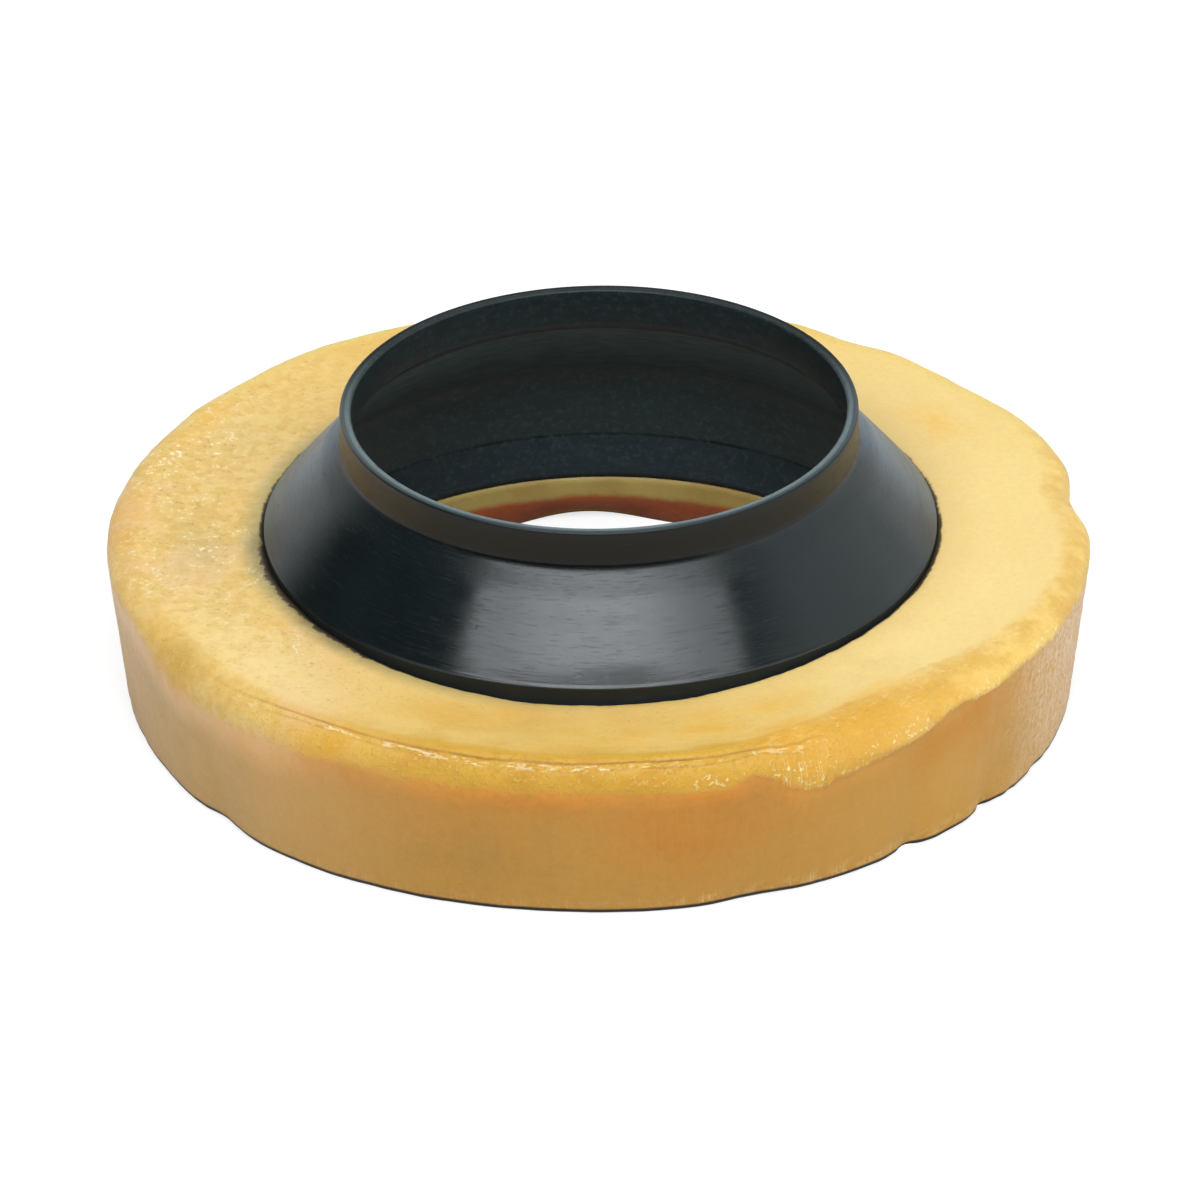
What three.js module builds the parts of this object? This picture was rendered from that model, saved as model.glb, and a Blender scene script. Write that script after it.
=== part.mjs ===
// Toilet pan seal: a ring of soft wax moulded round the wide end of a black polyethylene horn.
// It lies on the face that meets the pan, so its narrow outlet points up.
// Millimetres, +Z up, origin on the centre line at the floor, front of the seal towards -Y.
import * as THREE from 'three';

// Wax ring
const RING_OUTER_D = 140;
const RING_HEIGHT = 25;
const RING_DRAFT = 2.6;
const FOOT_ROUND = 0.9;
const SHOULDER_DROP = 3.8;
const SHOULDER_RUN = 3.8;
const MOUTH_FLARE = 2;
const MOUTH_FLARE_HEIGHT = 5;
const WAX_BAND_HEIGHT = 3.2;
const WAX_STEP = 0.2;

// Horn
const OUTLET_OUTER_D = 74;
const COLLAR_HEIGHT = 5.3;
const COLLAR_WALL = 1.7;
const CONE_HEIGHT = 13.6;
const CONE_WALL = 1.4;
const BASE_OUTER_D = 96.2;
const SKIRT_WALL = 1.6;
const FOOT_REVEAL = 0.3;
const INSIDE_FILLET = 7;
const FLANGE_REACH = 6;
const FLANGE_THICKNESS = 1.6;
const LIP_HEIGHT = 6;
const LIP_TAPER = 1.9;
const LIP_WALL = 1.4;
const RIM_ROUND = 0.4;

// Gap between the wax and the horn that it is moulded round
const CLEARANCE = 0.3;

// Number of facets round the centre line
const ROUND_FACETS = 84;

// Places that follow from the sizes above
const ringR = RING_OUTER_D / 2;
const outletR = OUTLET_OUTER_D / 2;
const skirtR = BASE_OUTER_D / 2;
const skirtInnerR = skirtR - SKIRT_WALL;
const flangeR = skirtR + FLANGE_REACH;
const lipInnerR = skirtInnerR - LIP_TAPER;
const lipZ = MOUTH_FLARE_HEIGHT + WAX_BAND_HEIGHT + CLEARANCE;
const flangeZ = lipZ + LIP_HEIGHT;
const flangeTopZ = flangeZ + FLANGE_THICKNESS;
const footZ = RING_HEIGHT + FOOT_REVEAL;
const collarZ = footZ + CONE_HEIGHT;
const rimZ = collarZ + COLLAR_HEIGHT;

// How the soft wax departs from a true ring. Angles are in degrees from +X towards +Y.
// Slow waves in the wall: how many round the ring, how deep, and where the first crest lies.
const WALL_WAVES = [
  { count: 1, depth: 0.45, crest: -150 },
  { count: 2, depth: 0.3, crest: 170 },
  { count: 3, depth: 0.35, crest: -105 },
  { count: 7, depth: 0.2, crest: -128 },
];
// Hollows pressed in by handling: centre, half width, depth at the foot and at the top edge.
const HOLLOWS = [
  { at: 8, half: 9, foot: 0.3, edge: 1.8 },
  { at: 38, half: 14, foot: 0.4, edge: 0.9 },
  { at: 57, half: 8, foot: 0.2, edge: 0.8 },
  { at: -36, half: 5, foot: 0.8, edge: 0 },
  { at: -50, half: 5, foot: 0.9, edge: 0 },
  { at: -72, half: 8, foot: 0.8, edge: 0.2 },
  { at: -143, half: 7, foot: 0.7, edge: 0.1 },
  { at: 138, half: 10, foot: 0.2, edge: 0.6 },
];
// The smeared shoulder: the top rolls over wider here and hangs a little proud of the wall.
const SMEAR = { at: -48, half: 34, run: 4.4, proud: 0.8 };
// The top sinks towards the horn at the front, and laps up to the cone everywhere else.
const SINK = { at: -93, half: 66, depth: 1.8 };
const LAP_SINK = 0.35;
const CREST_RISE = { at: -104, half: 40, height: 0.35 };
const TOP_DISH = 0.35;
// At the back the mouth is drawn open, where the wax was pulled outwards at the floor.
const MOUTH_PULL = { at: 91.5, half: 20, reach: 2.6 };

const radians = THREE.MathUtils.degToRad;

// 1 at the middle of a mark, falling smoothly to 0 at half a width to each side.
function bell(angle, mark) {
  const away = Math.abs(THREE.MathUtils.euclideanModulo(angle - mark.at + 180, 360) - 180);
  return away < mark.half ? 0.5 + 0.5 * Math.cos((Math.PI * away) / mark.half) : 0;
}

function waves(angle) {
  return WALL_WAVES.reduce(
    (sum, wave) => sum + wave.depth * Math.cos(wave.count * radians(angle - wave.crest)),
    0,
  );
}

function hollow(angle, key) {
  return HOLLOWS.reduce((sum, mark) => sum + mark[key] * bell(angle, mark), 0);
}

// An arc of an ellipse from one angle to another, both ends included.
function arc(centreR, centreZ, runR, runZ, from, to, steps) {
  return Array.from({ length: steps + 1 }, (_, i) => {
    const a = radians(from + ((to - from) * i) / steps);
    return new THREE.Vector2(centreR + runR * Math.cos(a), centreZ + runZ * Math.sin(a));
  });
}

function at(r, z) {
  return new THREE.Vector2(r, z);
}

// Height of the wax top at a share of the way from the horn out to the crest.
function waxTop(share, contactZ, crestZ) {
  const blend = THREE.MathUtils.smoothstep(share, 0, 1);
  return contactZ + (crestZ - contactZ) * blend - TOP_DISH * Math.sin(Math.PI * share);
}

// Section of the wax ring at one angle, from the mouth's floor edge round the outside and back.
function waxSection(angle) {
  const footR = ringR - RING_DRAFT + waves(angle) - hollow(angle, 'foot');
  const smear = bell(angle, SMEAR);
  const wallTopR = ringR + waves(angle) - hollow(angle, 'edge');
  const edgeR = wallTopR + SMEAR.proud * smear;
  const run = SHOULDER_RUN + SMEAR.run * smear;
  const crestR = edgeR - run;
  const crestZ = RING_HEIGHT + CREST_RISE.height * bell(angle, CREST_RISE);
  const shoulderZ = crestZ - SHOULDER_DROP;
  const contactR = skirtR + CLEARANCE;
  const contactZ = RING_HEIGHT - LAP_SINK - SINK.depth * bell(angle, SINK);
  const boreR = lipInnerR + WAX_STEP;
  const flare = MOUTH_FLARE + MOUTH_PULL.reach * bell(angle, MOUTH_PULL);

  const wall = [0.3, 0.6, 0.88].map((share) =>
    at(footR + (wallTopR - footR) * share, FOOT_ROUND + (shoulderZ - FOOT_ROUND) * share),
  );
  const top = [0.86, 0.7, 0.5, 0.3, 0.12, 0].map((share) =>
    at(contactR + (crestR - contactR) * share, waxTop(share, contactZ, crestZ)),
  );
  const socket = [
    at(contactR, flangeTopZ + CLEARANCE),
    at(flangeR + CLEARANCE, flangeTopZ + CLEARANCE),
    at(flangeR + CLEARANCE, flangeZ - CLEARANCE),
    at(skirtInnerR + LIP_WALL + CLEARANCE, flangeZ - CLEARANCE),
    at(lipInnerR + LIP_WALL + CLEARANCE, lipZ - CLEARANCE),
  ];
  return [
    at(boreR + flare, 0),
    ...arc(footR - FOOT_ROUND, FOOT_ROUND, FOOT_ROUND, FOOT_ROUND, -90, 0, 2),
    ...wall,
    ...arc(crestR, shoulderZ, run, SHOULDER_DROP, 0, 90, 6),
    ...top,
    ...socket,
    at(boreR, lipZ - CLEARANCE),
    at(boreR, MOUTH_FLARE_HEIGHT),
    at(boreR + flare * 0.3, MOUTH_FLARE_HEIGHT * 0.55),
    at(boreR + flare, 0),
  ];
}

// Section of the horn, from the lip's inner end down, outside and up, then back down the inside.
function hornSection() {
  const slope = Math.atan2(skirtR - outletR, CONE_HEIGHT);
  const coneInnerZ = (r) => footZ + (skirtR - r) / Math.tan(slope) - CONE_WALL / Math.sin(slope);
  const collarInnerR = outletR - COLLAR_WALL;
  const filletReach = INSIDE_FILLET * Math.tan(slope / 2);
  const filletZ = coneInnerZ(skirtInnerR) - filletReach;
  const fillet = arc(
    skirtInnerR - INSIDE_FILLET,
    filletZ,
    INSIDE_FILLET,
    INSIDE_FILLET,
    THREE.MathUtils.radToDeg(slope),
    0,
    5,
  );
  return [
    at(lipInnerR, lipZ),
    at(lipInnerR + LIP_WALL, lipZ),
    at(skirtInnerR + LIP_WALL, flangeZ),
    ...arc(
      flangeR - FLANGE_THICKNESS / 2,
      flangeZ + FLANGE_THICKNESS / 2,
      FLANGE_THICKNESS / 2,
      FLANGE_THICKNESS / 2,
      -90,
      90,
      4,
    ),
    at(skirtR, flangeTopZ),
    at(skirtR, footZ),
    at(outletR, collarZ),
    ...arc(outletR - RIM_ROUND, rimZ - RIM_ROUND, RIM_ROUND, RIM_ROUND, 0, 90, 2),
    ...arc(collarInnerR + RIM_ROUND, rimZ - RIM_ROUND, RIM_ROUND, RIM_ROUND, 90, 180, 2),
    at(collarInnerR, coneInnerZ(collarInnerR)),
    ...fillet,
    at(skirtInnerR, flangeZ),
    at(lipInnerR, lipZ),
  ];
}

// A revolved solid whose section may change with the angle, standing on the XY plane.
function revolve(sectionAt) {
  const geometry = new THREE.LatheGeometry(sectionAt(0), ROUND_FACETS);
  const position = geometry.attributes.position;
  for (let column = 0; column <= ROUND_FACETS; column += 1) {
    const turn = (2 * Math.PI * (column % ROUND_FACETS)) / ROUND_FACETS;
    const section = sectionAt(THREE.MathUtils.radToDeg(turn) - 90);
    section.forEach((point, row) => {
      position.setXYZ(
        column * section.length + row,
        point.x * Math.sin(turn),
        point.y,
        point.x * Math.cos(turn),
      );
    });
  }
  geometry.rotateX(Math.PI / 2);
  geometry.computeVertexNormals();
  return geometry;
}

function waxRing() {
  const material = new THREE.MeshStandardMaterial({
    color: 0xe8b95f,
    roughness: 0.45,
    metalness: 0,
  });
  const mesh = new THREE.Mesh(revolve(waxSection), material);
  mesh.name = 'wax_ring';
  return mesh;
}

function horn() {
  const material = new THREE.MeshStandardMaterial({
    color: 0x1b1e20,
    roughness: 0.4,
    metalness: 0,
  });
  const mesh = new THREE.Mesh(revolve(hornSection), material);
  mesh.name = 'horn';
  return mesh;
}

const panSeal = new THREE.Group();
panSeal.add(waxRing(), horn());

export default panSeal;
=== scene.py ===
"""Looks of a toilet pan seal: an amber wax ring moulded round a black plastic horn."""

import math
from types import SimpleNamespace

import bpy
import numpy as np
from mathutils import Matrix, Vector, noise


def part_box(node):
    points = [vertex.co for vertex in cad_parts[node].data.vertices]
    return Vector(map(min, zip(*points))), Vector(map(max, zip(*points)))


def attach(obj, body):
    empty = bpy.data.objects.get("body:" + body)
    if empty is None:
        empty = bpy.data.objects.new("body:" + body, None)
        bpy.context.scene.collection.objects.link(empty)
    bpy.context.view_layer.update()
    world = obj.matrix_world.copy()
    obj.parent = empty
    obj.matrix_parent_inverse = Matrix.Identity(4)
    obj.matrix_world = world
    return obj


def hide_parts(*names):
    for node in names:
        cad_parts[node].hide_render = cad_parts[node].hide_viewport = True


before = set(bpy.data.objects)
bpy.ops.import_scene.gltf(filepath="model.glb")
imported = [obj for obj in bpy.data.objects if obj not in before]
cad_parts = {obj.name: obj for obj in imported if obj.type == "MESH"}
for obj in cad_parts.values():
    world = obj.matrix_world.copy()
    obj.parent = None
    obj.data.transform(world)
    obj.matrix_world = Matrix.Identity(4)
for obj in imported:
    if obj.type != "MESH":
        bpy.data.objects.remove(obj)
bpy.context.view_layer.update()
MM = 0.001

# Wax ring. A thick ring of soft amber petroleum wax, poured round the horn's skirt and
# handled while soft: the wall is wavy, the top is rolled over the edge and torn at the
# right-hand front, and the foot is flat where it was laid down.
horn_low, horn_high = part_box("horn")
flange_reach = 6 * MM
flange_thickness = 1.6 * MM
skirt_wall = 1.6 * MM
lip_height = 6 * MM
skirt_r = horn_high.x - flange_reach
lip_z = horn_low.z
flange_z = lip_z + lip_height
flange_top_z = flange_z + flange_thickness
socket_gap = 0.3 * MM
contact_gap = 0.05 * MM
ring_r = 70 * MM
ring_height = 25 * MM
ring_draft = 2.6 * MM
foot_round = 0.9 * MM
shoulder_run = 3.8 * MM
top_dish = 0.35 * MM
bore_inset = 1.7 * MM
bore_r = skirt_r - skirt_wall - bore_inset
mouth_flare = 2 * MM
mouth_flare_height = 5 * MM
mouth_pull = 2.6 * MM

RING_COLUMNS = 960
WALL_WAVES = ((1, 0.45, -150), (2, 0.3, 170), (3, 0.35, -105), (7, 0.2, -128))
# Hollows from handling: angle, half width in degrees, depth at the foot and at the edge in mm.
HOLLOWS = (
    (8, 9, 0.3, 1.8),
    (38, 14, 0.4, 0.9),
    (57, 8, 0.2, 0.8),
    (-36, 5, 0.8, 0.0),
    (-50, 5, 0.9, 0.0),
    (-72, 8, 0.8, 0.2),
    (-143, 7, 0.7, 0.1),
    (138, 10, 0.2, 0.6),
)
# Chips out of the bottom edge: angle, half width in degrees, depth in mm.
FOOT_CHIPS = ((-49.5, 2.2, 0.6), (-36.2, 1.8, 0.6), (-31, 1.4, 0.3), (-24.5, 2.4, 0.4), (-144, 3, 0.3))
# Single marks: angle and half width in degrees.
SMEARED_SHOULDER = (-48, 34)
RAISED_CREST = (-104, 40)
SUNK_TOP = (-93, 66)
PULLED_MOUTH = (92.6, 17)
# Height of the edge of the rolled-over top round the wall: angle in degrees, height in mm.
LIP_LINE = (
    (-163, 22.6), (-156, 21.0), (-150, 19.6), (-136, 19.9), (-129, 20.4), (-121, 21.2), (-112, 20.6),
    (-102, 21.1), (-95, 21.1), (-86, 21.3), (-80, 20.6), (-75, 20.6), (-72.5, 21.6), (-70.5, 21.2),
    (-68.5, 19.2), (-66, 17.7), (-64, 17.4), (-62, 18.3), (-58, 18.9), (-55, 19.3), (-52, 20.1),
    (-47, 21.2), (-43, 22.3), (-38.5, 21.8), (-31, 22.4), (-14, 21.6), (0, 21.6), (30, 21.3),
    (90, 21.4), (150, 21.8),
)
# The crease that runs round the top in front: angle in degrees, distance from the axis in mm.
CREASE = (
    (-150, 68.0), (-140, 68.4), (-128, 67.9), (-114, 68.0), (-104, 68.2), (-90, 68.1), (-83, 67.9),
    (-76, 67.8), (-66, 67.4), (-58, 66.0),
)
# Stains from handling, with painted shade and glints among them: angle, place along the roll in mm, half
# widths of both, and strength.
WARM_STAINS = (
    (-124, 0.5, 7, 3.0, 1.0), (-103, 17.5, 5, 4, 0.4), (-74, 11.5, 7, 5, 0.8), (-64, 12.5, 8, 5, 0.7),
    # The warm mark at -42 degrees, just under the torn lip, is painted shade.
    (-66, 4.5, 6, 3.5, 0.9), (31, 12.5, 8, 4, 0.6), (-42, -4.0, 11, 5, 1.0), (-80, -7, 10, 8, 0.8),
    (-128, -2.5, 14, 2.5, 0.6), (177, 2.0, 10, 4, 0.9), (-152, 0.5, 6, 3.0, 1.0), (-78, -1.5, 7, 2.2, 0.8),
    (-55, 4.0, 9, 3.0, 0.7), (-100, -2.0, 14, 2.4, 0.6), (150, 4.0, 10, 3.0, 0.6), (112, 9, 12, 6, 0.4),
    (-90, 9, 10, 4, 0.35), (-112, 13, 9, 4, 0.4), (70, 3.0, 14, 3, 0.5),
)
PALE_STAINS = (
    (-140, 9.0, 20, 8, 1.0), (-43, 12.5, 30, 9, 0.7), (-126, 2.2, 5, 1.2, 0.9), (-20, 10, 20, 9, 0.5),
    (-104, 7, 12, 4, 0.5), (-84, 5.5, 10, 2.5, 0.5), (148, 9, 10, 6, 0.4), (-118, 8, 10, 5, 0.5),
)
# The dusky marks at the horn's foot, at -165 and -90 degrees, are painted shade where the wax meets the
# horn.
DUSKY_STAINS = (
    (-165, 21.0, 20, 3.0, 1.0), (-104, -11, 12, 6, 0.4), (-31, -13, 6, 5, 0.6), (-176, 12.5, 10, 4, 0.7),
    (-150, -9, 14, 8, 0.5), (-150, 2.5, 5, 2, 0.6), (-90, 21.8, 45, 1.4, 0.4), (150, 13, 12, 5, 0.3),
)
# Where pale flecks show at the left; their pale colour also paints the glints off the raised flecks.
FLECKED_STAINS = (
    (162, 5, 9, 4, 1.0), (157, 9, 9, 4.5, 1.0), (170, 7.5, 7, 3.5, 1.0), (173, 11.5, 7, 4, 1.0),
    (-177, 14, 10, 4.5, 1.0), (-170, 6, 9, 4, 0.8), (-164, 20, 7, 2.5, 1.0), (-176, 3, 8, 3, 0.6),
    (178, 19, 9, 3, 0.7), (-158, 12, 10, 5, 0.5), (148, 6, 8, 4, 0.5), (-143, 16, 7, 3, 0.6),
)


def bell(angle, middle, half):
    """1 at the middle of a mark, falling smoothly to 0 half a width away. Degrees."""
    away = np.abs((angle - middle + 180) % 360 - 180)
    return np.where(away < half, 0.5 + 0.5 * np.cos(np.pi * away / half), 0.0)


def smooth(low, high, value):
    """0 below low, 1 above high and a smooth rise between."""
    t = np.clip((value - low) / (high - low), 0, 1)
    return t * t * (3 - 2 * t)


def ripple(angle, fineness, seed):
    """Uneven waviness round the ring, about -1 to 1, that closes on itself."""
    reach = fineness / (2 * math.pi)
    return np.array([
        noise.fractal(Vector((reach * math.cos(t), reach * math.sin(t), seed)), 0.8, 2.0, 3)
        for t in np.radians(angle)
    ])


def lip_line(angle):
    at, height = zip(*LIP_LINE)
    return np.interp(angle, at, height, period=360)


def stain(marks, angle, roll):
    """How strongly one kind of stain shows at every vertex, 0 to 1."""
    total = 0 * roll
    for at, along, half, half_along, strength in marks:
        close = np.clip(1 - np.abs(roll - along) / (half_along * 1.6), 0, 1)
        fade = bell(angle, at, half * 1.4)[:, None]
        total = np.maximum(total, strength * fade * close * close * (3 - 2 * close))
    return total


def shares(count, ends=True):
    return np.linspace(0, 1, count) if ends else np.linspace(0, 1, count + 1)[:-1]


def wax_sections(angle):
    """Radius, height and roll of every point of the section, one row for each angle.

    The roll is in mm: below 0 on the wall, 0 to 4 over the rolled shoulder, and from 4 on
    across the top towards the horn.
    """
    waves = sum(
        depth * np.cos(count * np.radians(angle - crest)) for count, depth, crest in WALL_WAVES
    )
    foot_hollow = sum(foot * bell(angle, at, half) for at, half, foot, _ in HOLLOWS)
    edge_hollow = sum(edge * bell(angle, at, half) for at, half, _, edge in HOLLOWS)
    chips = sum(depth * bell(angle, at, half) for at, half, depth in FOOT_CHIPS) * MM
    smear = bell(angle, *SMEARED_SHOULDER)
    ragged = smooth(-79, -71, angle) * (1 - smooth(-8, 14, angle))
    foot_r = ring_r - ring_draft + (waves - foot_hollow + 0.12 * ripple(angle, 60, 3.1)) * MM
    wall_top_r = ring_r + (waves - edge_hollow + 0.10 * ripple(angle, 50, 8.7)) * MM
    proud = (0.15 + 0.35 * smear) * ragged * (1 + 0.5 * ripple(angle, 60, 1.3)) * MM
    edge_r = wall_top_r + proud
    run = shoulder_run + (4.0 * smear + 0.25 * ripple(angle, 30, 5.5)) * MM
    crest_r = edge_r - run
    crest_z = ring_height + (0.35 * bell(angle, *RAISED_CREST) - 0.1) * MM
    shoulder_z = (lip_line(angle) + (0.12 + 0.15 * ragged) * ripple(angle, 90, 2.2)) * MM
    contact_r = np.full_like(angle, skirt_r + contact_gap)
    sink = 0.35 + 1.5 * bell(angle, *SUNK_TOP) + 0.12 * ripple(angle, 80, 6.4)
    contact_z = ring_height - sink * MM
    flare = mouth_flare + mouth_pull * bell(angle, *PULLED_MOUTH)

    rows = []

    def add(r, z, roll=-25.0):
        rows.append((r + 0 * angle, z + 0 * angle, roll + 0 * angle))

    # The flat foot, its rounded edge and the wall.
    mouth_r = bore_r + flare
    for t in shares(6, ends=False):
        add(mouth_r + (foot_r - foot_round - mouth_r) * t, 0)
    for t in shares(5):
        turn = math.radians(-90 + 90 * t)
        r = foot_r - foot_round * (1 - math.cos(turn)) - chips * (1 - t * 0.3)
        add(r, foot_round * (1 + math.sin(turn)))
    for t in shares(21)[1:]:
        z = foot_round + (shoulder_z - 0.35 * MM - foot_round) * t
        chip_fade = np.clip(1 - (z - foot_round) / (3.2 * MM), 0, 1) ** 1.5
        r = foot_r + (wall_top_r - foot_r) * t - 0.7 * chips * chip_fade
        add(r, z, (z - shoulder_z) / MM)
    # The rolled shoulder and the top, in to the horn.
    for t in shares(22):
        turn = math.radians(90 * t)
        tuck = 0.5 * (1 - t) ** 6
        z = shoulder_z + (crest_z - shoulder_z) * math.sin(turn)
        add(crest_r + run * math.cos(turn) - proud * tuck, z, 4 * t)
    for t in shares(30)[1:]:
        share = 1 - t ** 1.35
        blend = share * share * (3 - 2 * share)
        dish = top_dish * math.sin(math.pi * share)
        z = contact_z + (crest_z - contact_z) * blend - dish - 0.5 * MM * (t > 0.995)
        add(contact_r + (crest_r - contact_r) * share, z, 4 + 18 * (1 - share))
    # The socket for the skirt, the flange and the lip, then the bore and the flared mouth.
    add(contact_r, contact_z - 1.2 * MM)
    add(contact_r, flange_top_z + socket_gap)
    add(horn_high.x + socket_gap, flange_top_z + socket_gap)
    add(horn_high.x + socket_gap, flange_z - socket_gap)
    add(skirt_r - 0.2 * MM + socket_gap, flange_z - socket_gap)
    add(bore_r + 1.2 * MM + socket_gap, lip_z - socket_gap)
    add(bore_r, lip_z - socket_gap)
    for t in shares(4)[1:]:
        add(bore_r, lip_z - socket_gap + (mouth_flare_height - lip_z + socket_gap) * t)
    for t in shares(6)[1:-1]:
        add(bore_r + flare * t ** 1.6, mouth_flare_height * (1 - t))
    return [np.stack(values, 1) for values in zip(*rows)]


def revolved_mesh(name, radius, height, angle):
    """A closed mesh from sections set round the centre line: one row for each angle."""
    turn = np.radians(angle)[:, None]
    points = np.stack([radius * np.cos(turn), radius * np.sin(turn), height + 0 * turn], -1)
    columns, rows = radius.shape
    ids = np.arange(columns * rows).reshape(columns, rows)
    ahead = np.roll(ids, -1, 0)
    faces = np.stack([ids, ahead, np.roll(ahead, -1, 1), np.roll(ids, -1, 1)], -1).reshape(-1, 4)
    mesh = bpy.data.meshes.new(name)
    mesh.from_pydata(points.reshape(-1, 3).tolist(), [], faces.tolist())
    mesh.shade_smooth()
    return mesh


def crease_line(angle, radius):
    """How far each vertex lies outside the crease in mm, and how strongly the crease shows there."""
    at, away = zip(*CREASE)
    line = np.interp(angle, at, away) + 0.2 * ripple(angle, 30, 4.4)
    shown = smooth(-152, -118, angle) * (1 - smooth(-72, -60, angle))
    shown = shown * (0.7 + 0.6 * ripple(angle, 60, 9.9))
    return radius / MM - line[:, None], shown[:, None] + 0 * radius


def wax_relief(point, normal):
    """How far the handled wax stands out from its smooth form at a point, in mm."""
    angle = math.degrees(math.atan2(point.y, point.x))
    r = math.hypot(point.x, point.y)
    if r < skirt_r + 1.0 * MM or point.z < 0.4 * MM:
        return 0.0
    q = point / MM
    z = q.z
    top = max(0.0, normal.z)

    def mark(middle, half):
        return float(bell(angle, middle, half))

    def step(low, high, value):
        return float(smooth(low, high, value))

    # Slow swells and small unevenness all over.
    relief = 0.16 * noise.fractal(q / 17, 0.9, 2.0, 2) * (0.4 + 0.6 * top)
    relief += 0.06 * noise.fractal(q / 4.5, 0.8, 2.0, 3)
    # Dimples on the handled top at the left.
    left = mark(178, 62) * step(0.5, 0.9, top)
    if left > 0:
        relief -= 0.22 * left * max(0.0, noise.noise(q / 1.9) - 0.1)
        relief += 0.12 * left * noise.noise(q / 1.1)
    # Wax drawn up along the crease in front.
    crest = math.exp(-((r / MM - 68.4) / 0.9) ** 2) * step(0.25, 0.5, top)
    front = 0.8 * mark(-124, 12) + 0.8 * mark(-100, 20) + mark(-84, 16) + 1.2 * mark(-74, 6)
    if crest * front > 0.01:
        drawn = Vector((math.radians(angle) * 30, (r / MM - z) / 0.7, 0.0))
        relief += 0.5 * crest * front * max(0.0, noise.noise(drawn) - 0.05)
    # Strands where the lip is torn.
    torn = mark(-66, 8) * step(16.8, 17.8, z) * (1 - step(0.6, 0.85, top))
    if torn > 0:
        strand = Vector((math.radians(angle) * 95 - 0.5 * z, z / 3.5, 4.0))
        relief += torn * max(-0.1, 0.9 * noise.noise(strand) + 0.25 * noise.noise(q / 0.7))
    # The lip's crumbled edge, and one fold under it.
    lip = mark(-32, 44) * math.exp(-((z - 22.2) / 1.4) ** 2)
    if lip > 0.01:
        relief += 0.2 * lip * noise.noise(q / 1.5)
    relief += 0.3 * mark(-53, 11) * math.exp(-((z - 20.4) / 0.8) ** 2)
    # Rubbed wall at both sides.
    side_patch = (mark(-15, 22) + mark(-163, 16)) * step(2, 8, z) * (1 - step(20, 22, z))
    if side_patch > 0:
        relief += 0.12 * side_patch * noise.noise(Vector((q.x / 0.9, q.y / 0.9, z / 1.6)))
    return relief


def add_piece(name, mesh, material):
    """Puts a mesh in the scene as a piece of the object that rides on the one body."""
    piece = bpy.data.objects.new(name, mesh)
    bpy.context.scene.collection.objects.link(piece)
    mesh.materials.clear()
    mesh.materials.append(material)
    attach(piece, "root")
    return piece


ring_angles = np.arange(RING_COLUMNS) * 360 / RING_COLUMNS - 180
ring_radius, ring_z, ring_roll = wax_sections(ring_angles)
ring_mesh = revolved_mesh("wax_body", ring_radius, ring_z, ring_angles)
crease_side, crease_shown = crease_line(ring_angles, ring_radius)
crease_shown = crease_shown * (ring_z > 22.5 * MM)
ring_crease = (np.exp(-(crease_side / 0.3) ** 2) * crease_shown).reshape(-1)
for name, values in (
    ("crease_side", np.clip(crease_side, -8, 8)),
    ("crease_shown", crease_shown),
    ("roll", ring_roll),
    ("warm", stain(WARM_STAINS, ring_angles, ring_roll)),
    ("pale", stain(PALE_STAINS, ring_angles, ring_roll)),
    ("dusky", stain(DUSKY_STAINS, ring_angles, ring_roll)),
    ("flecked", stain(FLECKED_STAINS, ring_angles, ring_roll)),
):
    ring_mesh.attributes.new(name, "FLOAT", "POINT").data.foreach_set("value", values.reshape(-1))
ring_normals = [vertex.normal.copy() for vertex in ring_mesh.vertices]
for vertex, normal, crease in zip(ring_mesh.vertices, ring_normals, ring_crease):
    vertex.co += normal * (wax_relief(vertex.co, normal) - 0.3 * crease) * MM
ring_mesh.update()


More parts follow.
